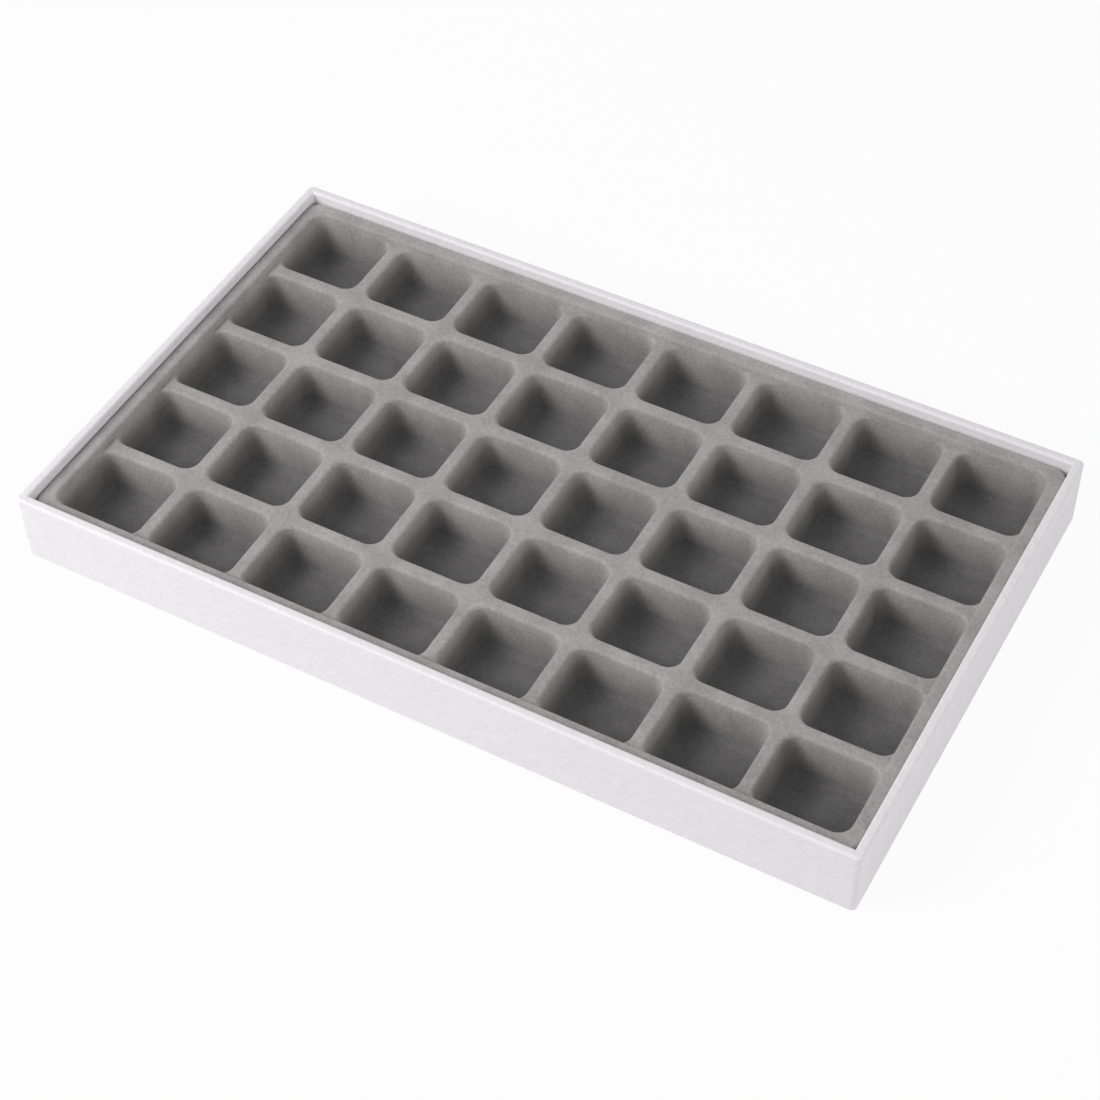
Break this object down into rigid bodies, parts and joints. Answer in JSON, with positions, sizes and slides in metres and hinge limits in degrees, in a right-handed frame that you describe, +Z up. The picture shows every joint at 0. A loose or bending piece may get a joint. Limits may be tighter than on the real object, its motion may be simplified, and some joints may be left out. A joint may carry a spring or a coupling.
{
  "type": "jewelry tray",
  "caption": "Shallow white leatherette-covered jewelry tray with a grey flocked lift-out insert of rectangular pockets for rings, earrings and other small pieces.",
  "frame": {"origin": "middle of the footprint, on the surface that the tray stands on", "axes": "+X along the long front wall, +Y from the front wall to the back wall, +Z up"},
  "size_m": [0.37, 0.22, 0.0335],
  "materials": {
    "leatherette": "satin",
    "flocked_sheet": "matte",
    "greyboard": "matte",
    "stay_paper": "matte",
    "lining_paper": "matte",
    "underside_paper": "matte"
  },
  "bodies": {
    "tray": {"base_board": "greyboard", "front_wall_board": "greyboard", "back_wall_board": "greyboard", "left_wall_board": "greyboard", "right_wall_board": "greyboard", "front_left_stay": "stay_paper", "front_right_stay": "stay_paper", "back_left_stay": "stay_paper", "back_right_stay": "stay_paper", "leatherette_wrap": "leatherette", "base_lining": "lining_paper", "underside_sheet": "underside_paper"},
    "insert": {"pocket_insert": "flocked_sheet"}
  },
  "joints": [
    {"name": "insert_lift", "type": "slide", "parent": "tray", "child": "insert", "axis": [0, 0, 1], "range_m": [0, 0.04]}
  ]
}
